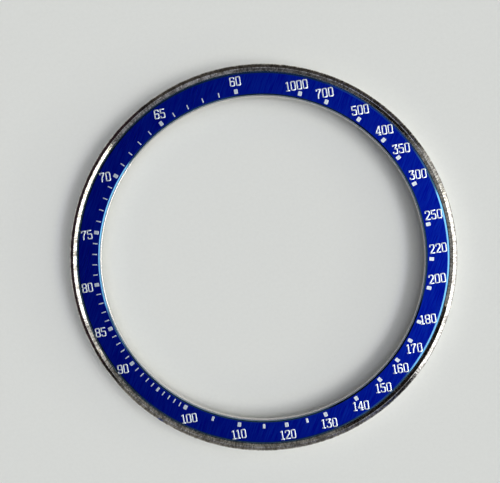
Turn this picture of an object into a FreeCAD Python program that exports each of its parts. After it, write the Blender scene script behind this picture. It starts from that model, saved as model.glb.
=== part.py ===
import FreeCAD, Part
import os
import Sketcher

# Fixed watch bezel that carries an average-speed scale.
# The bezel lies on its back with the scale up: the origin is on the axis, in the plane of the
# back face, +Z points out through the scale and +Y points to 12 o'clock.

# Driving sizes in millimetres: cell alias, value, what it is.
SIZES = [
    ("outside_radius", "20.0", "outer wall of the steel ring"),
    ("rim_slope_width", "0.43", "polished slope from the outer wall in to the crest of the rim"),
    ("rim_slope_rise", "0.157", "the same slope, along the axis"),
    ("shoulder_round", "0.08", "rounding between the outer wall and the slope"),
    ("rim_bevel", "0.25", "polished bevel from the crest of the rim down into the recess"),
    ("back_chamfer", "0.2", "outer edge of the back face"),
    ("case_wall", "1.7", "outer wall to the bore that presses over the shoulder of the case"),
    ("case_bore_depth", "1.03", "back face to the underside of the shelf"),
    ("lead_in", "0.15", "chamfer that starts the case shoulder into the bore"),
    ("snap_land", "0.3", "lip behind the lead-in that clicks past the bead of the case"),
    ("snap_groove_width", "0.35", "undercut above the lip, along the axis"),
    ("snap_groove_depth", "0.12", "undercut above the lip, outwards"),
    ("shelf_thickness", "0.57", "shelf that carries the insert and closes in round the crystal"),
    ("edge_break", "0.05", "polished break on the front edge of the shelf"),
    ("pry_notch_width", "2.6", "opening for a case knife, along the rim"),
    ("pry_notch_depth", "0.55", "opening for a case knife, inwards"),
    ("pry_notch_height", "0.3", "opening for a case knife, up from the back face"),
    ("insert_drop", "0.26", "face of the insert below the crest of the rim"),
    ("insert_thickness", "0.45", "anodised aluminium ring"),
    ("insert_width", "2.36", "outer edge of the insert to its bore"),
    ("bore_bevel", "0.13", "bevel round the bore of the insert"),
    ("edge_bevel_width", "0.2", "low bevel round the outer edge of the insert, inwards"),
    ("edge_bevel_fall", "0.065", "the same bevel, along the axis"),
    ("insert_clearance", "0.06", "insert to the wall of its recess, on the radius"),
    ("insert_setback", "0.06", "bore of the insert back from the opening of the shelf"),
    ("adhesive_thickness", "0.05", "double-sided film under the insert"),
    ("adhesive_margin", "0.25", "film back from both edges of the insert"),
    ("mark_pocket_depth", "0.04", "engraved pocket that holds the lacquer"),
    ("mark_proud", "0.01", "lacquer above the face of the insert"),
    ("mark_margin", "0.15", "foot of every mark out from the inner bevel"),
    ("mark_length", "0.48", "every mark, outwards"),
    ("index_width", "0.38", "numbered marks, along the scale"),
    ("half_step_width", "0.25", "marks halfway between two numbers"),
    ("unit_width", "0.12", "single-unit ticks"),
]

# The scale reads units per hour from the seconds that one unit takes, so a value sits
# FULL_TURN * ONE_MINUTE_VALUE / value degrees clockwise of 12 o'clock: 60 after a whole turn,
# 120 after half a turn, and the steps close up as the values grow.
FULL_TURN = 360
ONE_MINUTE_VALUE = 60
INDEX_VALUES = [*range(60, 95, 5), *range(100, 190, 10), 200, 220, 250, 300, 350, 400, 500, 700]
INDEX_VALUES.append(1000)
HALF_STEP_VALUES = [*range(95, 130, 10)]
UNIT_VALUES = [value for value in range(60, 100) if value % 5]

# Clockwise place of the notch for a case knife, in degrees from 12 o'clock.
PRY_NOTCH_TURN = 247

# Points of a sketch's geometry, and the sketch's own origin and axes.
START, END, CENTRE = 1, 2, 3
ORIGIN = (-1, 1)
ACROSS_AXIS, UP_AXIS = -1, -2

doc = FreeCAD.newDocument("SpeedScaleBezel")

sheet = doc.addObject("Spreadsheet::Sheet", "Sizes")
for row, (alias, value, note) in enumerate(SIZES, start=1):
    sheet.set(f"A{row}", alias)
    sheet.set(f"B{row}", value)
    sheet.set(f"C{row}", note)
    sheet.setAlias(f"B{row}", alias)
doc.recompute()

# Places that several pieces share, each worked out from the driving sizes.
SHELF_TOP = "(Sizes.case_bore_depth + Sizes.shelf_thickness)"
INSERT_SEAT = f"({SHELF_TOP} + Sizes.adhesive_thickness)"
INSERT_TOP = f"({INSERT_SEAT} + Sizes.insert_thickness)"
RIM_CREST = f"({INSERT_TOP} + Sizes.insert_drop)"
CREST_RADIUS = "(Sizes.outside_radius - Sizes.rim_slope_width)"
RECESS_RADIUS = f"({CREST_RADIUS} - Sizes.rim_bevel)"
CASE_BORE = "(Sizes.outside_radius - Sizes.case_wall)"
INSERT_OUTER = f"({RECESS_RADIUS} - Sizes.insert_clearance)"
INSERT_BORE = f"({INSERT_OUTER} - Sizes.insert_width)"
CRYSTAL_BORE = f"({INSERT_BORE} - Sizes.insert_setback)"
MARK_FOOT = f"({INSERT_BORE} + Sizes.bore_bevel + Sizes.mark_margin)"

# Where the rounding of the shoulder meets the wall and the slope, from the angle of the slope.
RIM_SLOPE = "atan(Sizes.rim_slope_rise / Sizes.rim_slope_width)"
SHOULDER_RADIUS = "(Sizes.outside_radius - Sizes.shoulder_round)"
SHOULDER_REACH = f"(Sizes.shoulder_round * tan(45 deg - {RIM_SLOPE} / 2))"
SHOULDER_FOOT = f"({RIM_CREST} - Sizes.rim_slope_rise - {SHOULDER_REACH})"
SLOPE_START_RADIUS = f"({SHOULDER_RADIUS} + Sizes.shoulder_round * sin({RIM_SLOPE}))"
SLOPE_START = f"({SHOULDER_FOOT} + Sizes.shoulder_round * cos({RIM_SLOPE}))"


def origin_plane(body, role):
    return next(plane for plane in body.Origin.OriginFeatures if plane.Role == role)


def new_sketch(body, name, role):
    sketch = body.newObject("Sketcher::SketchObject", name)
    sketch.AttachmentSupport = [(origin_plane(body, role), "")]
    sketch.MapMode = "FlatFace"
    return sketch


def size(expression):
    return float(sheet.evalExpression(expression))


def place(across, up):
    return FreeCAD.Vector(size(across), size(up), 0)


def bind_distance(sketch, direction, geometry, point, expression):
    # One coordinate of a point, measured from the sketch's origin and bound to the sheet.
    if expression == "0":
        axis = ACROSS_AXIS if direction == "DistanceY" else UP_AXIS
        sketch.addConstraint(Sketcher.Constraint("PointOnObject", geometry, point, axis))
        return
    distance = Sketcher.Constraint(direction, *ORIGIN, geometry, point, size(expression))
    sketch.setExpression(f"Constraints[{sketch.addConstraint(distance)}]", expression)


def add_outline(sketch, corners, arcs=None):
    # A closed outline, anticlockwise. Corners are (x, y) expressions, and arcs gives the
    # centre of the arc that runs from a corner to the next one.
    arcs = arcs or {}
    places = [place(across, up) for across, up in corners]
    for number, start in enumerate(places):
        end = places[(number + 1) % len(places)]
        if number in arcs:
            middle = place(*arcs[number])
            circle = Part.Circle(middle, FreeCAD.Vector(0, 0, 1), (start - middle).Length)
            sketch.addGeometry(Part.ArcOfCircle(circle, circle.parameter(start), circle.parameter(end)))
        else:
            sketch.addGeometry(Part.LineSegment(start, end))
    for number, (across, up) in enumerate(corners):
        following = (number + 1) % len(corners)
        sketch.addConstraint(Sketcher.Constraint("Coincident", number, END, following, START))
        bind_distance(sketch, "DistanceX", number, START, across)
        bind_distance(sketch, "DistanceY", number, START, up)
        if number in arcs:
            bind_distance(sketch, "DistanceY", number, CENTRE, arcs[number][1])


def turned(body, name, corners, arcs=None, cut=False):
    # A half section turned once round the axis, as on a lathe.
    section = new_sketch(body, f"{name}_section", "XZ_Plane")
    add_outline(section, corners, arcs)
    feature = body.newObject("PartDesign::Groove" if cut else "PartDesign::Revolution", name)
    feature.Profile = section
    feature.ReferenceAxis = (section, ["V_Axis"])
    feature.Angle = FULL_TURN
    body.Tip = feature
    doc.recompute()
    return feature


def check_cut(feature, before):
    # A cut that misses the solid shows no error, so its volume is compared.
    removed = before - feature.Shape.Volume
    print(f"{feature.Name} removes {removed:.3f} mm3")
    if removed <= 0:
        raise RuntimeError(f"{feature.Name} cut nothing")


# Steel ring: one turned piece. The rim, sloped outside and bevelled inside, stands guard round
# the recess for the insert, a shelf closes in round the crystal, and the back is bored out for
# the case, with an undercut that clicks over its bead.
def make_bezel_ring():
    body = doc.addObject("PartDesign::Body", "bezel_ring")
    shoulder_centre = (SHOULDER_RADIUS, SHOULDER_FOOT)
    section = [
        (f"{CASE_BORE} + Sizes.lead_in", "0"),
        ("Sizes.outside_radius - Sizes.back_chamfer", "0"),
        ("Sizes.outside_radius", "Sizes.back_chamfer"),
        ("Sizes.outside_radius", SHOULDER_FOOT),
        (SLOPE_START_RADIUS, SLOPE_START),
        (CREST_RADIUS, RIM_CREST),
        (RECESS_RADIUS, f"{RIM_CREST} - Sizes.rim_bevel"),
        (RECESS_RADIUS, SHELF_TOP),
        (f"{CRYSTAL_BORE} + Sizes.edge_break", SHELF_TOP),
        (CRYSTAL_BORE, f"{SHELF_TOP} - Sizes.edge_break"),
        (CRYSTAL_BORE, "Sizes.case_bore_depth"),
        (CASE_BORE, "Sizes.case_bore_depth"),
        (CASE_BORE, "Sizes.lead_in"),
    ]
    blank = turned(body, "turned_blank", section, arcs={3: shoulder_centre})

    land_end = "Sizes.lead_in + Sizes.snap_land"
    groove_end = f"{land_end} + Sizes.snap_groove_width"
    groove_bottom = f"{CASE_BORE} + Sizes.snap_groove_depth"
    # The cutter starts inside the bore, by its own depth.
    cutter_start = f"{CASE_BORE} - Sizes.snap_groove_depth"
    cutter = [
        (cutter_start, land_end),
        (groove_bottom, land_end),
        (groove_bottom, groove_end),
        (cutter_start, groove_end),
    ]
    undercut = turned(body, "snap_undercut", cutter, cut=True)
    check_cut(undercut, blank.Shape.Volume)

    # The notch is milled up from the back face, across the outer edge.
    notch_sketch = new_sketch(body, "pry_notch_sketch", "XY_Plane")
    notch_turn = FreeCAD.Rotation(FreeCAD.Vector(0, 0, -1), PRY_NOTCH_TURN)
    notch_sketch.AttachmentOffset = FreeCAD.Placement(FreeCAD.Vector(), notch_turn)
    half_width = "Sizes.pry_notch_width / 2"
    floor = "Sizes.outside_radius - Sizes.pry_notch_depth"
    mouth = "Sizes.outside_radius + Sizes.pry_notch_depth"
    notch_outline = [
        (f"-{half_width}", floor),
        (half_width, floor),
        (half_width, mouth),
        (f"-{half_width}", mouth),
    ]
    add_outline(notch_sketch, notch_outline)
    notch = body.newObject("PartDesign::Pocket", "pry_notch")
    notch.Profile = notch_sketch
    notch.setExpression("Length", "Sizes.pry_notch_height")
    notch.Reversed = True
    body.Tip = notch
    doc.recompute()
    check_cut(notch, undercut.Shape.Volume)
    return body


# Adhesive film: a flat die-cut ring between the shelf and the insert.
def make_adhesive_ring():
    body = doc.addObject("PartDesign::Body", "adhesive_ring")
    sketch = new_sketch(body, "film_outline", "XY_Plane")
    for radius in (f"{INSERT_BORE} + Sizes.adhesive_margin", f"{INSERT_OUTER} - Sizes.adhesive_margin"):
        edge = sketch.addGeometry(Part.Circle(FreeCAD.Vector(), FreeCAD.Vector(0, 0, 1), size(radius)))
        sketch.addConstraint(Sketcher.Constraint("Coincident", edge, CENTRE, *ORIGIN))
        round_edge = Sketcher.Constraint("Radius", edge, size(radius))
        sketch.setExpression(f"Constraints[{sketch.addConstraint(round_edge)}]", radius)
    film = body.newObject("PartDesign::Pad", "film")
    film.Profile = sketch
    film.setExpression("Length", "Sizes.adhesive_thickness")
    body.Tip = film
    body.setExpression("Placement.Base.z", SHELF_TOP)
    doc.recompute()
    return body


# Marks of one kind: lacquer blocks whose foot stands on one circle, turned to their values.
def make_marks(name, width, values):
    blocks = []
    for value in values:
        turn = f"({FULL_TURN * ONE_MINUTE_VALUE} / {value} * 1 deg)"
        block = doc.addObject("Part::Box", f"{name}_{value}")
        block.setExpression("Length", width)
        block.setExpression("Width", "Sizes.mark_length")
        block.setExpression("Height", "Sizes.mark_pocket_depth + Sizes.mark_proud")
        # The turn is clockwise, about -Z. This one only sets the axis, and the next line the angle.
        block.Placement.Rotation = FreeCAD.Rotation(FreeCAD.Vector(0, 0, -1), FULL_TURN / 4)
        block.setExpression("Placement.Rotation.Angle", turn)
        block.setExpression("Placement.Base.x", f"{MARK_FOOT} * sin({turn}) - {width} / 2 * cos({turn})")
        block.setExpression("Placement.Base.y", f"{MARK_FOOT} * cos({turn}) + {width} / 2 * sin({turn})")
        block.setExpression("Placement.Base.z", f"{INSERT_TOP} - Sizes.mark_pocket_depth")
        blocks.append(block)
    marks = doc.addObject("Part::Compound", name)
    marks.Links = blocks
    doc.recompute()
    return marks


# Scale insert: a flat ring with both upper edges bevelled, engraved with a pocket for each
# mark. The lacquer blocks are the cutters, so every pocket fits its own block.
def make_scale_insert(marks):
    body = doc.addObject("PartDesign::Body", "insert_blank")
    section = [
        (INSERT_BORE, "0"),
        (INSERT_OUTER, "0"),
        (INSERT_OUTER, "Sizes.insert_thickness - Sizes.edge_bevel_fall"),
        (f"{INSERT_OUTER} - Sizes.edge_bevel_width", "Sizes.insert_thickness"),
        (f"{INSERT_BORE} + Sizes.bore_bevel", "Sizes.insert_thickness"),
        (INSERT_BORE, "Sizes.insert_thickness - Sizes.bore_bevel"),
    ]
    turned(body, "insert_turning", section)
    body.setExpression("Placement.Base.z", INSERT_SEAT)

    cutters = doc.addObject("Part::Compound", "pocket_cutters")
    cutters.Links = marks
    insert = doc.addObject("Part::Cut", "scale_insert")
    insert.Base = body
    insert.Tool = cutters
    doc.recompute()
    check_cut(insert, body.Shape.Volume)
    return insert


index_pips = make_marks("index_pips", "Sizes.index_width", INDEX_VALUES)
half_step_marks = make_marks("half_step_marks", "Sizes.half_step_width", HALF_STEP_VALUES)
unit_ticks = make_marks("unit_ticks", "Sizes.unit_width", UNIT_VALUES)
pieces = [
    make_bezel_ring(),
    make_adhesive_ring(),
    make_scale_insert([index_pips, half_step_marks, unit_ticks]),
    index_pips,
    half_step_marks,
    unit_ticks,
]
doc.recompute()

for item in doc.Objects:
    if {"Invalid", "Error"} & set(item.State):
        raise RuntimeError(f"{item.Name} failed: {item.State}")

os.makedirs("parts", exist_ok=True)
for piece in pieces:
    if piece.Shape.isNull() or not piece.Shape.isValid():
        raise RuntimeError(f"{piece.Label} has no valid shape")
    piece.Shape.exportStep(f"parts/{piece.Label}.step")
    print(f"{piece.Label}: {len(piece.Shape.Solids)} solids, {piece.Shape.Volume:.3f} mm3")
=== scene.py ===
# Watch bezel with a speed scale: polished steel ring, blue anodised insert, white lacquer marks and numbers.
# Millimetres in the dictionaries, metres in the meshes. +Y is 12 o'clock and +Z points out of the scale.
import math

import bpy
from mathutils import Matrix, Vector
from mathutils.geometry import tessellate_polygon


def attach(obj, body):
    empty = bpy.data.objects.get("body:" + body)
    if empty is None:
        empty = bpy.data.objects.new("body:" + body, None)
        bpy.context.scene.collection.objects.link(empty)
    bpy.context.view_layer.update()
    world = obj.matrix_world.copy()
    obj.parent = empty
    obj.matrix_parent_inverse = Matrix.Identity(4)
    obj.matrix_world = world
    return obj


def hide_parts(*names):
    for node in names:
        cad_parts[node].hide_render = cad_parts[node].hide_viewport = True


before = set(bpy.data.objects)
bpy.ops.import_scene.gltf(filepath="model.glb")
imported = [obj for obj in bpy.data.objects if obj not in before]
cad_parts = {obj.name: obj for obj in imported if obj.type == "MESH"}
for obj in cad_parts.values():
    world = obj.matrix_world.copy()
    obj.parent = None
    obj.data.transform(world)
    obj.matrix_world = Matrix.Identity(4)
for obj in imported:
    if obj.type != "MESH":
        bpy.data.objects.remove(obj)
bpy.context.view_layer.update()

mm = 0.001
scene = bpy.context.scene
scene.view_settings.view_transform = "Standard"
print("frame loaded:", sorted(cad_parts))


# Small helpers.

# sRGB hex to the linear colour that sockets want
def toLinear(hexCode):
    parts = [int(hexCode[i:i + 2], 16) / 255 for i in (1, 3, 5)]
    return [p / 12.92 if p <= 0.04045 else ((p + 0.055) / 1.055) ** 2.4 for p in parts] + [1.0]


# one node, with its settings, socket values and incoming links
def addNode(tree, kind, settings=None, values=None, links=None):
    node = tree.nodes.new(kind)
    for key, value in (settings or {}).items():
        setattr(node, key, value)
    for key, value in (values or {}).items():
        node.inputs[key].default_value = value
    for key, source in (links or {}).items():
        tree.links.new(source, node.inputs[key])
    return node


def newMaterial(name):
    material = bpy.data.materials.new(name)
    material.use_nodes = True
    tree = material.node_tree
    tree.nodes.clear()
    shader = addNode(tree, "ShaderNodeBsdfPrincipled")
    addNode(tree, "ShaderNodeOutputMaterial", links={"Surface": shader.outputs["BSDF"]})
    return material, tree, shader


# object coordinates in millimetres, turned about Z and squeezed so that one pattern unit is alongMm by acrossMm
def patternSpace(tree, turn, alongMm, acrossMm, deepMm=1.0):
    place = addNode(tree, "ShaderNodeTexCoord")
    turned = addNode(tree, "ShaderNodeMapping", {"vector_type": "TEXTURE"}, {"Rotation": (0, 0, math.radians(turn))},
                     {"Vector": place.outputs["Object"]})
    return addNode(tree, "ShaderNodeMapping", {"vector_type": "POINT"},
                   {"Scale": (1 / (acrossMm * mm), 1 / (alongMm * mm), 1 / (deepMm * mm))},
                   {"Vector": turned.outputs["Vector"]})


# radius and angle round the axis, both in millimetres along the surface, for patterns that follow the turning
def turnedSpace(tree, radius):
    place = addNode(tree, "ShaderNodeTexCoord")
    split = addNode(tree, "ShaderNodeSeparateXYZ", links={"Vector": place.outputs["Object"]})
    angle = addNode(tree, "ShaderNodeMath", {"operation": "ARCTAN2"},
                    links={0: split.outputs["X"], 1: split.outputs["Y"]})
    around = addNode(tree, "ShaderNodeMath", {"operation": "MULTIPLY"}, {1: radius}, {0: angle.outputs[0]})
    flat = addNode(tree, "ShaderNodeVectorMath", {"operation": "MULTIPLY"}, {1: (1, 1, 0)},
                   {0: place.outputs["Object"]})
    away = addNode(tree, "ShaderNodeVectorMath", {"operation": "LENGTH"}, links={0: flat.outputs[0]})
    inMm = addNode(tree, "ShaderNodeMath", {"operation": "DIVIDE"}, {1: mm}, {0: away.outputs["Value"]})
    high = addNode(tree, "ShaderNodeMath", {"operation": "DIVIDE"}, {1: mm}, {0: split.outputs["Z"]})
    return addNode(tree, "ShaderNodeCombineXYZ",
                   links={"X": around.outputs[0], "Y": inMm.outputs[0], "Z": high.outputs[0]})


# noise that runs round the turning, one pattern unit being alongMm by acrossMm
def turnedNoise(tree, around, alongMm, acrossMm, **values):
    squeezed = addNode(tree, "ShaderNodeMapping", {"vector_type": "POINT"},
                       {"Scale": (1 / alongMm, 1 / acrossMm, 1 / acrossMm)}, {"Vector": around.outputs["Vector"]})
    return addNode(tree, "ShaderNodeTexNoise", values={"Scale": 1.0, **values},
                   links={"Vector": squeezed.outputs["Vector"]})


# noise in straight coordinates, with the sizes that patternSpace takes
def straightNoise(tree, turn, sizesMm, **values):
    return addNode(tree, "ShaderNodeTexNoise", values={"Scale": 1.0, **values},
                   links={"Vector": patternSpace(tree, turn, *sizesMm).outputs["Vector"]})


# a value from start..stop, spread over low..high
def spread(tree, value, low=0.0, high=1.0, start=0.0, stop=1.0):
    return addNode(tree, "ShaderNodeMapRange",
                   values={"From Min": start, "From Max": stop, "To Min": low, "To Max": high},
                   links={"Value": value}).outputs[0]


# colours the shader between two tones, by a share from 0 to 1
def paint(tree, shader, tones, share):
    tone = addNode(tree, "ShaderNodeMix", {"data_type": "RGBA"}, {6: toLinear(tones[0]), 7: toLinear(tones[1])},
                   {0: share})
    tree.links.new(tone.outputs[2], shader.inputs["Base Color"])


def bump(tree, height, strength, deepMm, under=None):
    links = {"Height": height, "Normal": under} if under else {"Height": height}
    return addNode(tree, "ShaderNodeBump", values={"Strength": strength, "Distance": deepMm * mm},
                   links=links).outputs["Normal"]


# Camera, studio and floor.

camera = {"place": (3.0058, 3.3496, 73.7000),       # worked out from where the marks lie in the photograph
          "right": (0.987892, -0.150736, -0.036689),
          "up": (0.148635, 0.987391, -0.054461),
          "back": (0.044435, 0.048342, 0.997843),
          "lens": 50, "sensor": 36,
          "shift": (-10 / 500, 20 / 500)}       # the photograph is cut a little off centre


def makeCamera():
    data = bpy.data.cameras.new("camera")
    data.lens = camera["lens"]
    data.sensor_width = camera["sensor"]
    data.shift_x, data.shift_y = camera["shift"]
    data.clip_start = 0.005
    data.clip_end = 20
    holder = bpy.data.objects.new("camera", data)
    scene.collection.objects.link(holder)
    turn = Matrix((camera["right"], camera["up"], camera["back"])).transposed().to_4x4()
    holder.matrix_world = Matrix.Translation(Vector(camera["place"]) * mm) @ turn
    scene.camera = holder


studio = {"base": "#1C1A19",        # the room where no soft box is
          "horizon": {"colour": "#D6D8D4", "high": 6, "soft": 2}}        # the floor's tone, carried on past its end
# soft boxes in the world, in degrees: azimuth clockwise from 12 o'clock, width, lowest and highest elevation,
# width of the soft edge, then colour and strength
softBoxes = {
    "window": (110, 56, 31, 38.4, 2, "#FFFFFF", 2.3),
    "window, upper pane": (110, 60, 38.8, 44, 2, "#FFFFE0", 5.6),
    "window, top pane": (110, 60, 44, 55, 2, "#F4F4FF", 7.0),
    "wall beside the window": (50, 44, 42, 50, 3, "#5580E0", 1.0),
    "window, corner": (148, 28, 37, 48, 4, "#9FB4E0", 0.8),
    "window, low pane": (111, 54, 12.5, 15.6, 1.5, "#FFFFE8", 5.8),
    "window, bar": (109, 54, 15.9, 20.5, 1.5, "#FFFFFF", 2.0),
    "curtain": (76, 20, 9, 48, 7, "#FBFBF4", 0.8),
    "wall, top, low": (22, 82, 8.5, 20, 4, "#7B7B77", 1.0),
    "wall, top, high": (15, 92, 29, 40, 4, "#433F38", 1.0),
    "wall, top, rim": (10, 104, 41, 50, 3, "#4F6090", 1.0),
    "table, low": (194, 54, 8.5, 20, 4, "#55565A", 1.0),
    "table end, low": (157, 50, 8.5, 20, 4, "#7E8086", 1.0),
    "table, high": (194, 84, 28, 33.5, 2, "#7B7971", 1.0),
    "table, rim": (190, 80, 34, 43, 2, "#2E4890", 1.0),
    "wall, left, low": (264, 50, 8.5, 20, 4, "#92928F", 1.0),
    "wall, left, high": (286, 78, 29, 38, 6, "#2C1A24", 1.0),
    "sill, top right": (45, 76, 1.5, 7, 2, "#E6E2D6", 0.9),
    "room": (0, 400, 21.5, 27, 3, "#FFF6DC", 0.7),
    "ceiling edge": (0, 400, 47, 57, 4, "#FFF6DC", 0.45),
}
# two wide glows on the ceiling, from the window and from a patch of blue sky: lean is the way down from overhead
ceiling = {"foot": (46, 56),
           "window": {"azimuth": 96, "lean": 40, "inner": 15, "outer": 65, "colour": "#FFFFFB", "strength": 1.32},
           "sky": {"azimuth": 262, "lean": 18, "inner": 5, "outer": 36, "colour": "#104585", "strength": 1.0}}


def makeWorld():
    world = bpy.data.worlds.new("studio")
    scene.world = world
    world.use_nodes = True
    tree = world.node_tree
    tree.nodes.clear()
    place = addNode(tree, "ShaderNodeTexCoord")
    split = addNode(tree, "ShaderNodeSeparateXYZ", links={"Vector": place.outputs["Generated"]})
    azimuth = addNode(tree, "ShaderNodeMath", {"operation": "ARCTAN2"},
                      links={0: split.outputs["X"], 1: split.outputs["Y"]})
    elevation = addNode(tree, "ShaderNodeMath", {"operation": "ARCSINE", "use_clamp": False},
                        links={0: split.outputs["Z"]})

    # 1 inside low..high with soft edges, for an angle that comes in radians
    def fade(source, edge, full):
        return addNode(tree, "ShaderNodeMapRange", {"interpolation_type": "SMOOTHSTEP"},
                       {"From Min": math.radians(edge), "From Max": math.radians(full)}, {"Value": source})

    def times(first, second):
        return addNode(tree, "ShaderNodeMath", {"operation": "MULTIPLY"}, links={0: first, 1: second})

    def lit(total, share, colour):
        painted = addNode(tree, "ShaderNodeVectorMath", {"operation": "SCALE"}, {0: colour[:3]}, {"Scale": share})
        return addNode(tree, "ShaderNodeVectorMath", {"operation": "ADD"},
                       links={0: total, 1: painted.outputs[0]}).outputs[0]

    base = addNode(tree, "ShaderNodeRGB")
    base.outputs[0].default_value = toLinear(studio["base"])
    total = base.outputs[0]
    horizon = studio["horizon"]
    pale = fade(elevation.outputs[0], horizon["high"] + horizon["soft"], horizon["high"])
    total = lit(total, pale.outputs[0], toLinear(horizon["colour"]))
    for towards, wide, low, high, soft, colour, strength in softBoxes.values():
        turn = addNode(tree, "ShaderNodeMath", {"operation": "SUBTRACT"}, {1: math.radians(towards)},
                       {0: azimuth.outputs[0]})
        wrapped = addNode(tree, "ShaderNodeMath", {"operation": "WRAP"}, {1: math.pi, 2: -math.pi},
                          {0: turn.outputs[0]})
        off = addNode(tree, "ShaderNodeMath", {"operation": "ABSOLUTE"}, links={0: wrapped.outputs[0]})
        sides = fade(off.outputs[0], (wide + soft) / 2, (wide - soft) / 2)
        foot = fade(elevation.outputs[0], low - soft / 2, low + soft / 2)
        head = fade(elevation.outputs[0], high + soft / 2, high - soft / 2)
        share = times(times(sides.outputs[0], foot.outputs[0]).outputs[0], head.outputs[0])
        total = lit(total, share.outputs[0], [c * strength for c in toLinear(colour)])
    above = fade(elevation.outputs[0], *ceiling["foot"])
    for name in ("window", "sky"):
        spot = ceiling[name]
        lean, towards = math.radians(spot["lean"]), math.radians(spot["azimuth"])
        near = addNode(tree, "ShaderNodeVectorMath", {"operation": "DOT_PRODUCT"},
                       {1: (math.sin(lean) * math.sin(towards), math.sin(lean) * math.cos(towards), math.cos(lean))},
                       {0: place.outputs["Generated"]})
        away = addNode(tree, "ShaderNodeMath", {"operation": "ARCCOSINE"}, links={0: near.outputs["Value"]})
        glow = times(fade(away.outputs[0], spot["outer"], spot["inner"]).outputs[0], above.outputs[0])
        total = lit(total, glow.outputs[0], [c * spot["strength"] for c in toLinear(spot["colour"])])
    light = addNode(tree, "ShaderNodeBackground", links={"Color": total})
    addNode(tree, "ShaderNodeOutputWorld", links={"Surface": light.outputs[0]})


floorSizes = {"half": 3000, "under": 0.02}        # a hair under the ring, so that no two planes meet


def makeFloor():
    half = floorSizes["half"] * mm
    data = bpy.data.meshes.new("floor")
    data.from_pydata([(-half, -half, 0), (half, -half, 0), (half, half, 0), (-half, half, 0)], [], [(0, 1, 2, 3)])
    floor = bpy.data.objects.new("floor", data)
    floor.location.z = -floorSizes["under"] * mm
    scene.collection.objects.link(floor)
    material, tree, shader = newMaterial("paleMattPaper")        # matt paper: no gloss, the faintest tooth
    tooth = straightNoise(tree, 0, (3.0, 3.0), Scale=9.0, Detail=3.0)
    paint(tree, shader, ("#EAECE8", "#F0F2EE"), tooth.outputs["Fac"])
    shader.inputs["Roughness"].default_value = 0.95
    shader.inputs["Specular IOR Level"].default_value = 0.1
    floor.data.materials.append(material)


makeCamera()
makeWorld()
makeFloor()
print("camera, studio and floor made")


# Materials.

# stainless steel, turned and then mirror polished: a grey mirror, mottled by fine flecks where it reflects grey
def polishedSteel():
    material, tree, shader = newMaterial("stainlessTurnedAndPolished")
    look = {"tones": ("#8B8782", "#E6E3E0"), "roughness": (0.06, 0.13), "radius": 19.7,
            "lineMm": (6.0, 0.03), "lineDeep": 0.002,        # real polishing lines are near 0.01 mm, drawn coarser
            "fleckMm": (0.16, 0.30), "fleckDeep": 0.004, "patchMm": (0.7, 0.5), "patchShare": 0.6,
            "rimAbove": (2.1, 2.0)}
    around = turnedSpace(tree, look["radius"])
    turning = turnedNoise(tree, around, *look["lineMm"], Detail=2.0)
    flecks = turnedNoise(tree, around, *look["fleckMm"], Detail=2.0, Roughness=0.6)
    patches = turnedNoise(tree, around, *look["patchMm"], Detail=1.0)
    mottled = addNode(tree, "ShaderNodeMath", {"operation": "MULTIPLY_ADD"}, {1: look["patchShare"]},
                      {0: patches.outputs["Fac"], 2: flecks.outputs["Fac"]})
    # only the rim has been handled enough to be mottled; the walls below it are also kept at the bright tone as painted
    # light, so that they show the shaded floor they reflect brighter
    split = addNode(tree, "ShaderNodeSeparateXYZ", links={"Vector": around.outputs["Vector"]})
    rimFoot, wallHead = look["rimAbove"]
    fleckedRimBrightWalls = addNode(tree, "ShaderNodeMath", {"operation": "MAXIMUM"},
                     links={0: spread(tree, mottled.outputs[0], start=0.62, stop=0.98),
                            1: spread(tree, split.outputs["Z"], start=rimFoot, stop=wallHead)})
    paint(tree, shader, look["tones"], fleckedRimBrightWalls.outputs[0])
    wear = spread(tree, flecks.outputs["Fac"], *look["roughness"], start=0.35, stop=0.7)
    tree.links.new(wear, shader.inputs["Roughness"])
    fine = bump(tree, turning.outputs["Fac"], 0.15, look["lineDeep"])
    tree.links.new(bump(tree, flecks.outputs["Fac"], 1.0, look["fleckDeep"], fine), shader.inputs["Normal"])
    shader.inputs["Metallic"].default_value = 1.0
    return material


# aluminium, brushed straight across and anodised deep blue: dark and silky, with pale streaks where light rakes it
def anodisedFace():
    material, tree, shader = newMaterial("aluminiumBrushedAnodisedBlue")
    look = {"tones": ("#010D88", "#0A2C9E"), "brush": -29,        # degrees from 12 o'clock
            "streakMm": (2.2, 0.11),        # real brush lines are near 0.02 mm, drawn coarser so that they show
            "streakDeep": 0.014, "cloudMm": (5.0, 1.2), "roughness": (0.26, 0.36)}
    streaks = straightNoise(tree, look["brush"], look["streakMm"], Detail=4.0, Roughness=0.6)
    clouds = straightNoise(tree, look["brush"], look["cloudMm"], Detail=2.0)
    paint(tree, shader, look["tones"], spread(tree, streaks.outputs["Fac"], start=0.4, stop=0.78))
    rough = spread(tree, clouds.outputs["Fac"], *look["roughness"], start=0.3, stop=0.7)
    tree.links.new(rough, shader.inputs["Roughness"])
    tree.links.new(bump(tree, streaks.outputs["Fac"], 0.8, look["streakDeep"]), shader.inputs["Normal"])
    shader.inputs["Metallic"].default_value = 1.0
    return material


# the same aluminium where the bevels were cut bright before the dye: smooth, and it takes less blue
def anodisedBevel():
    material, tree, shader = newMaterial("aluminiumBrightCutAnodisedBlue")
    look = {"tones": ("#275A82", "#2C608A"), "roughness": (0.07, 0.12), "radius": 18.0,
            "lineMm": (4.0, 0.04)}        # the cutter's own lines are finer, drawn coarser so that they show
    turning = turnedNoise(tree, turnedSpace(tree, look["radius"]), *look["lineMm"], Detail=2.0)
    paint(tree, shader, look["tones"], turning.outputs["Fac"])
    tree.links.new(spread(tree, turning.outputs["Fac"], *look["roughness"]), shader.inputs["Roughness"])
    shader.inputs["Metallic"].default_value = 1.0
    shader.inputs["Coat Weight"].default_value = 0.6        # the sealed oxide layer: a white glint over the blue
    shader.inputs["Coat Roughness"].default_value = 0.1
    return material
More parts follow.
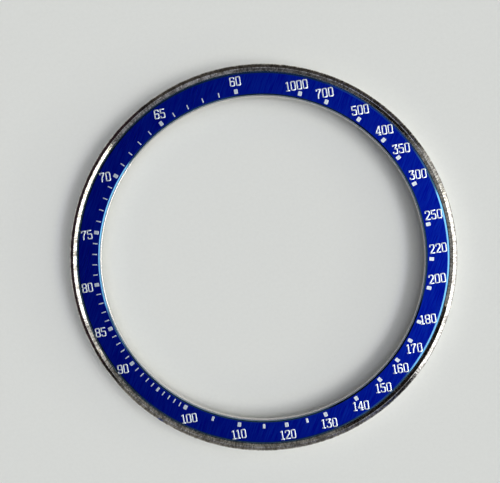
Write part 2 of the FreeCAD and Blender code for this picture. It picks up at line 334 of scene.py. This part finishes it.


# white lacquer with aluminium pigment, wiped into the engraving: it brightens and dims with the light as the face
# does, and its colour is a little greyer and bluer in the middle of a wide mark
def whiteLacquer():
    material, tree, shader = newMaterial("lacquerFilledSilverWhite")
    look = {"tones": ("#E9F1F5", "#CED9E3"), "grainMm": 0.12, "grainDeep": 0.003, "roughness": (0.36, 0.46)}
    greyerShare = addNode(tree, "ShaderNodeAttribute", {"attribute_name": "greyerMiddle"})
    grain = straightNoise(tree, 0, [look["grainMm"]] * 3, Detail=3.0)
    share = addNode(tree, "ShaderNodeMath", {"operation": "MULTIPLY"},
                    links={0: greyerShare.outputs["Fac"], 1: grain.outputs["Fac"]})
    paint(tree, shader, look["tones"], share.outputs[0])
    tree.links.new(spread(tree, grain.outputs["Fac"], *look["roughness"]), shader.inputs["Roughness"])
    tree.links.new(bump(tree, grain.outputs["Fac"], 0.3, look["grainDeep"]), shader.inputs["Normal"])
    shader.inputs["Metallic"].default_value = 0.85
    return material


# double-sided adhesive film: thin, matt and yellowish where its edge shows
def adhesiveFilm():
    material, tree, shader = newMaterial("adhesiveFilmDoubleSided")
    look = {"tones": ("#B7B2A2", "#C9C4B4"), "grainMm": 0.2, "roughness": (0.55, 0.7)}
    grain = straightNoise(tree, 0, [look["grainMm"]] * 3, Detail=3.0)
    paint(tree, shader, look["tones"], grain.outputs["Fac"])
    tree.links.new(spread(tree, grain.outputs["Fac"], *look["roughness"]), shader.inputs["Roughness"])
    return material


steel, blueFace, blueBevel = polishedSteel(), anodisedFace(), anodisedBevel()
white, film = whiteLacquer(), adhesiveFilm()
print("materials made")


# Turned parts.

# walks round a section of (radius, height, rounding) corners and rounds each one; with support, one more point just
# beyond each end of a rounding keeps the stretch after it flat under smooth shading
def roundedSection(corners, bend, support=0.0):
    longest, room = 0.49, 0.4        # how much of a side one rounding may take, without and with a support point
    points = []
    for index, (radius, height, rounding) in enumerate(corners):
        here = Vector((radius, height))
        back = Vector(corners[index - 1][:2]) - here
        ahead = Vector(corners[(index + 1) % len(corners)][:2]) - here
        if rounding == 0:
            points.append(here)
            continue
        half = back.angle(ahead) / 2
        reach = min(rounding / math.tan(half), longest * back.length, longest * ahead.length)
        start, end = here + back.normalized() * reach, here + ahead.normalized() * reach
        centre = here + (back.normalized() + ahead.normalized()).normalized() * (reach / math.cos(half))
        first, last = start - centre, end - centre
        sweep = first.angle(last)
        if support and reach + support < room * back.length:
            points.append(start + back.normalized() * support)
        for step in range(bend + 1):
            gone, remaining = step / bend * sweep, (1 - step / bend) * sweep
            points.append(centre + (first * math.sin(remaining) + last * math.sin(gone)) / math.sin(sweep))
        if support and reach + support < room * ahead.length:
            points.append(end + ahead.normalized() * support)
    return points


def addPiece(name, vertices, faces, materials, replaced=None):
    data = bpy.data.meshes.new(name)
    data.from_pydata(vertices, [], faces)
    data.validate()
    for material in materials:
        data.materials.append(material)
    piece = bpy.data.objects.new(name, data)
    scene.collection.objects.link(piece)
    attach(piece, "root")
    if replaced:
        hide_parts(replaced)
    return piece


# smooth shading, with every edge sharper than this many degrees kept crisp
def smoothBelow(piece, degrees):
    piece.data.shade_smooth()
    piece.data.set_sharp_from_angle(angle=math.radians(degrees))


# turns a closed section round the axis; shape(radius, height, angle) may move a point, as a nick or a notch does
def turnedPiece(name, section, angles, materials, replaced, shape=None):
    count, around = len(section), len(angles)
    vertices = []
    for angle in angles:
        for radius, height in section:
            if shape:
                radius, height = shape(radius, height, angle)
            vertices.append((radius * math.sin(angle) * mm, radius * math.cos(angle) * mm, height * mm))
    faces = []
    for turn in range(around):
        onward = (turn + 1) % around
        for step in range(count):
            after = (step + 1) % count
            faces.append((turn * count + step, turn * count + after, onward * count + after, onward * count + step))
    piece = addPiece(name, vertices, faces, materials, replaced)
    smoothBelow(piece, 38)
    return piece


ring = {
    "turns": 1080, "radius": 20.0, "middle": 19.7, "bend": 3, "support": 0.015,
    # radius, height and rounding of each corner, from the back edge of the bore up inside, over the rim and down
    "corners": [(18.45, 0.00, 0.02), (18.30, 0.15, 0.02), (18.30, 0.45, 0.02), (18.42, 0.45, 0.02),
                (18.42, 0.80, 0.02), (18.30, 0.80, 0.02), (18.30, 1.03, 0.03), (16.84, 1.03, 0.05),
                (16.84, 1.60, 0.06), (19.32, 1.60, 0.03), (19.32, 2.11, 0.02), (19.57, 2.36, 0.03),
                (19.91, 2.236, 0.01), (20.00, 2.173, 0.02), (20.00, 0.20, 0.05), (19.80, 0.00, 0.03)],
    "notch": {"angle": 247, "wide": 2.6, "deep": 0.55, "lip": 0.1, "wall": 0.012},
    "rim": {"above": 1.9, "beyond": 19.2},        # only this part of the section takes the nicks
}
nicks = [        # knocks on the rim: clock angle in degrees, radius, length and depth in millimetres
    {"angle": 249.0, "radius": 19.66, "long": 0.30, "wide": 0.14, "deep": 0.07},
    {"angle": 246.6, "radius": 19.86, "long": 0.16, "wide": 0.10, "deep": 0.05},
    {"angle": 112.2, "radius": 19.56, "long": 0.26, "wide": 0.12, "deep": 0.06},
    {"angle": 356.5, "radius": 19.66, "long": 0.20, "wide": 0.10, "deep": 0.04},
    {"angle": 221.0, "radius": 19.78, "long": 0.30, "wide": 0.10, "deep": 0.04},
]


def makeRing():
    notch, rim = ring["notch"], ring["rim"]
    middle = math.radians(notch["angle"])
    reach = notch["wide"] / 2 / ring["radius"]
    wall = notch["wall"] / ring["radius"]
    angles = sorted([math.tau * i / ring["turns"] for i in range(ring["turns"])]
                    + [middle - reach - wall, middle - reach, middle + reach, middle + reach + wall])

    def shape(radius, height, angle):
        # in the pry notch the lowest points step in, so that a blade finds its way under the edge
        inNotch = abs(angle - middle) <= reach + 1e-9 and height < notch["lip"]
        if inNotch:
            radius = min(radius, ring["radius"] - notch["deep"])
        if height > rim["above"] and radius > rim["beyond"]:
            for nick in nicks:
                along = (angle - math.radians(nick["angle"])) * ring["middle"] / nick["long"]
                across = (radius - nick["radius"]) / nick["wide"]
                height -= nick["deep"] * math.exp(-along * along - across * across)
        return radius, height

    section = [tuple(p) for p in roundedSection(ring["corners"], ring["bend"], ring["support"])]
    return turnedPiece("steel_ring", section, angles, [steel], "bezel_ring", shape)


insert = {
    "turns": 720, "bend": 3, "support": 0.015,
    "corners": [(16.90, 1.65, 0.01), (16.90, 1.97, 0.02), (17.03, 2.10, 0.02), (18.08, 2.10, 0.0),
                (19.06, 2.10, 0.02), (19.26, 2.035, 0.02), (19.26, 1.65, 0.01)],
    "face": {"from": 17.028, "to": 19.063, "above": 2.09},        # the brushed part between the two bevels
}


def makeInsert():
    section = [tuple(p) for p in roundedSection(insert["corners"], insert["bend"], insert["support"])]
    angles = [math.tau * i / insert["turns"] for i in range(insert["turns"])]
    piece = turnedPiece("blue_insert", section, angles, [blueBevel, blueFace],
                        "scale_insert")
    brushed = insert["face"]
    for face in piece.data.polygons:
        radius = face.center.xy.length / mm
        if brushed["from"] < radius < brushed["to"] and face.center.z > brushed["above"] * mm:
            face.material_index = 1
    return piece


makeRing()
makeInsert()
print("ring and insert turned")


# Lacquer marks.

scaleMarks = {
    "radius": 17.42, "length": 0.48, "foot": 2.065, "top": 2.11, "corner": 0.2, "cornerLeast": 0.012,
    "shoulder": [(0.0, 0.012), (0.010, 0.003), (0.025, 0.0)],        # how far in, how far below the top
    # marks wider than this sink in the middle: how far in, share of the depth, share of the greyer tone
    "hollow": {"wider": 0.2, "deep": 0.006, "steps": [(0.07, 0.6, 0.7), (0.11, 1.0, 1.0)]},
    "index_pips": {"name": "pips", "wide": 0.38,
                   "values": [*range(60, 95, 5), *range(100, 190, 10), 200, 220, 250, 300, 350, 400, 500, 700, 1000]},
    "half_step_marks": {"name": "half_marks", "wide": 0.25, "values": [95, 105, 115, 125]},
    "unit_ticks": {"name": "ticks", "wide": 0.12, "values": [v for v in range(61, 100) if v % 5]},
}


def clockAngle(value):
    return math.tau * 60 / value


# a rounded rectangle as a list of (x, y), anticlockwise
def pad(wide, long, corner, bend=4):
    points = []
    for cx, cy, start in ((1, 1, 0), (-1, 1, 90), (-1, -1, 180), (1, -1, 270)):
        for step in range(bend + 1):
            turn = math.radians(start + 90 * step / bend)
            points.append((cx * (wide / 2 - corner) + corner * math.cos(turn),
                           cy * (long / 2 - corner) + corner * math.sin(turn)))
    return points


# one mark: rings of a rounded rectangle from its foot over a soft shoulder to a shallow hollow in the middle
def markRings(wide, long):
    top, hollow = scaleMarks["top"], scaleMarks["hollow"]
    corner = min(wide, long) * scaleMarks["corner"]
    steps = [(0.0, scaleMarks["foot"], 0.0)] + [(inset, top - below, 0.0) for inset, below in scaleMarks["shoulder"]]
    if wide > hollow["wider"]:
        steps += [(inset, top - hollow["deep"] * share, greyerShare) for inset, share, greyerShare in hollow["steps"]]
    rings = []
    for inset, height, greyerShare in steps:
        inset = min(inset, wide * 0.4)        # the middle of a thin tick stays open
        rings.append((pad(wide - 2 * inset, long - 2 * inset, max(corner - inset, scaleMarks["cornerLeast"])),
                      height, greyerShare))
    return rings


def makeMarks(node):
    rule = scaleMarks[node]
    vertices, faces, greyerShares = [], [], []
    for value in rule["values"]:
        angle = clockAngle(value)
        rings = markRings(rule["wide"], scaleMarks["length"])
        count = len(rings[0][0])
        start = len(vertices)
        for points, height, greyerShare in rings:
            for side, out in points:
                away = scaleMarks["radius"] + out
                vertices.append(((away * math.sin(angle) + side * math.cos(angle)) * mm,
                                 (away * math.cos(angle) - side * math.sin(angle)) * mm, height * mm))
                greyerShares.append(greyerShare)
        for level in range(len(rings) - 1):
            low = start + level * count
            for step in range(count):
                after = (step + 1) % count
                faces.append((low + step, low + after, low + count + after, low + count + step))
        faces.append(tuple(range(start + (len(rings) - 1) * count, start + len(rings) * count)))
        faces.append(tuple(reversed(range(start, start + count))))
    piece = addPiece(rule["name"], vertices, faces, [white], node)
    attribute = piece.data.attributes.new("greyerMiddle", "FLOAT", "POINT")
    attribute.data.foreach_set("value", greyerShares)
    smoothBelow(piece, 50)


for node in ("index_pips", "half_step_marks", "unit_ticks"):
    makeMarks(node)
print("lacquer marks made")


# Numbers.

# block figures with cut corners, drawn in hundredths of a millimetre: the outline first, then its counters
figures = {
    "0": [[(9, 0), (43, 0), (52, 9), (52, 87), (43, 96), (9, 96), (0, 87), (0, 9)],
          [(12, 15), (16, 11), (36, 11), (40, 15), (40, 81), (36, 85), (16, 85), (12, 81)]],
    "1": [[(0, 0), (39, 0), (39, 11), (26, 11), (26, 96), (15, 96), (1, 88), (1, 77), (14, 79), (14, 11), (0, 11)]],
    "2": [[(0, 0), (52, 0), (52, 17), (46, 11), (17, 11), (48, 50), (52, 58), (52, 87), (43, 96), (9, 96), (0, 87),
           (0, 68), (12, 68), (12, 81), (16, 85), (36, 85), (40, 81), (40, 61), (3, 15), (0, 10)]],
    "3": [[(9, 0), (43, 0), (52, 9), (52, 50), (46, 57), (35, 59), (50, 84), (50, 96), (0, 96), (0, 76), (11, 76),
           (14, 85), (35, 85), (18, 57), (18, 47), (36, 47), (40, 43), (40, 15), (36, 11), (16, 11), (12, 15), (12, 25),
           (0, 25), (0, 9)]],
    "4": [[(23, 0), (54, 0), (54, 10), (45, 10), (45, 21), (54, 21), (54, 32), (45, 32), (45, 96), (31, 96), (0, 34),
           (0, 21), (33, 21), (33, 10), (23, 10)],
          [(12, 32), (33, 32), (33, 75)]],
    "5": [[(9, 0), (43, 0), (52, 9), (52, 51), (43, 60), (12, 60), (12, 85), (49, 85), (49, 96), (0, 96), (0, 49),
           (36, 49), (40, 45), (40, 15), (36, 11), (16, 11), (12, 15), (12, 25), (0, 25), (0, 9)]],
    "6": [[(9, 0), (43, 0), (52, 9), (52, 49), (43, 58), (12, 58), (12, 81), (16, 85), (36, 85), (40, 81), (40, 71),
           (52, 71), (52, 87), (43, 96), (9, 96), (0, 87), (0, 9)],
          [(12, 15), (16, 11), (36, 11), (40, 15), (40, 43), (36, 47), (12, 47)]],
    "7": [[(11, 0), (24, 0), (27, 38), (52, 84), (52, 96), (0, 96), (0, 74), (10, 74), (13, 85), (38, 85), (15, 41)]],
    "8": [[(9, 0), (43, 0), (52, 9), (52, 41), (46, 49), (52, 57), (52, 87), (43, 96), (9, 96), (0, 87), (0, 57),
           (6, 49), (0, 41), (0, 9)],
          [(12, 15), (16, 11), (36, 11), (40, 15), (40, 39), (36, 43), (16, 43), (12, 39)],
          [(12, 59), (16, 55), (36, 55), (40, 59), (40, 81), (36, 85), (16, 85), (12, 81)]],
    "9": [[(43, 0), (52, 9), (52, 87), (43, 96), (9, 96), (0, 87), (0, 47), (9, 38), (40, 38), (40, 15), (36, 11),
           (16, 11), (12, 15), (12, 25), (0, 25), (0, 9), (9, 0)],
          [(12, 53), (16, 49), (40, 49), (40, 81), (36, 85), (16, 85), (12, 81)]],
}
# tall, foot, top and shoulder in millimetres, the rest in hundredths
lettering = {"tall": 0.96, "foot": 2.092, "top": 2.108, "shoulder": 0.007, "gap": 9, "corner": 1.6, "edge": 0.9}
# middle of each number on the face, in millimetres from the centre towards 3 and 12 o'clock
numbers = {
    60: (0.06, 18.45), 65: (-8.11, 16.42), 70: (-14.73, 10.93), 75: (-17.61, 5.29), 80: (-18.46, -0.15),
    85: (-17.84, -4.98), 90: (-16.14, -9.15), 100: (-10.03, -15.32), 110: (-5.10, -17.72), 120: (0.00, -18.47),
    130: (4.43, -17.88), 140: (7.94, -16.53), 150: (10.51, -14.98), 160: (12.53, -13.22), 170: (14.22, -11.35),
    180: (16.04, -8.56), 200: (17.52, -4.55), 220: (18.04, -1.47), 250: (18.04, 1.99), 300: (17.04, 6.29),
    350: (15.74, 9.13), 400: (14.31, 11.25), 500: (12.19, 13.63), 700: (8.90, 15.88), 1000: (6.21, 17.08),
}


# rounds the corners of one outline, in hundredths of a millimetre
def softened(points, corner, bend=2):
    return roundedSection([(x, y, corner) for x, y in points], bend)


# the same outline, drawn in by an even amount
def drawnIn(points, inset):
    moved = []
    for index, here in enumerate(points):
        back = (here - points[index - 1]).normalized()
        ahead = (points[(index + 1) % len(points)] - here).normalized()
        normal = Vector((-back.y - ahead.y, back.x + ahead.x)).normalized()
        slant = max(0.5, normal.dot(Vector((-back.y, back.x))))        # a sharp corner moves at most twice the inset
        moved.append(here + normal * (inset / slant))
    return moved


def clockwise(points):
    area = sum(a.x * b.y - b.x * a.y for a, b in zip(points, points[1:] + points[:1]))
    return area < 0


def figureMesh(loops, left, vertices, faces):
    rings = []
    for index, loop in enumerate(loops):
        points = softened(loop, lettering["corner"])
        if clockwise(points) != (index > 0):
            points.reverse()
        rings.append(points)
    foot, top = lettering["foot"], lettering["top"]
    levels = [(0.0, foot), (0.0, top - lettering["shoulder"]), (lettering["edge"], top)]
    starts = []
    for inset, height in levels:
        starts.append(len(vertices))
        for points in rings:
            for point in (drawnIn(points, inset) if inset else points):
                vertices.append((point.x / 100 + left, point.y / 100, height))
    sizes = [len(points) for points in rings]
    for lower, upper in zip(starts, starts[1:]):
        shift = 0
        for size in sizes:
            for step in range(size):
                after = (step + 1) % size
                faces.append((lower + shift + step, lower + shift + after,
                              upper + shift + after, upper + shift + step))
            shift += size
    flat = [[Vector((p.x, p.y, 0)) for p in points] for points in rings]
    for a, b, c in tessellate_polygon(flat):
        first, second, third = (vertices[starts[0] + i] for i in (a, b, c))
        turn = (second[0] - first[0]) * (third[1] - first[1]) - (second[1] - first[1]) * (third[0] - first[0])
        if turn < 0:
            b, c = c, b
        faces.append((starts[2] + a, starts[2] + b, starts[2] + c))
        faces.append((starts[0] + a, starts[0] + c, starts[0] + b))


def makeNumber(value, middle):
    vertices, faces, left = [], [], 0.0
    for figure in str(value):
        loops = figures[figure]
        figureMesh(loops, left, vertices, faces)
        left += (max(x for x, y in loops[0]) + lettering["gap"]) / 100
    wide, high = left - lettering["gap"] / 100, lettering["tall"]
    placed = [((x - wide / 2 + middle[0]) * mm, (y - high / 2 + middle[1]) * mm, z * mm) for x, y, z in vertices]
    smoothBelow(addPiece("number_%d" % value, placed, faces, [white]), 40)


for value, middle in numbers.items():
    makeNumber(value, middle)
print("numbers made")


# The film under the insert keeps its CAD shape.

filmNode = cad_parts["adhesive_ring"]
filmNode.data.materials.clear()
filmNode.data.materials.append(film)

print("all pieces made")
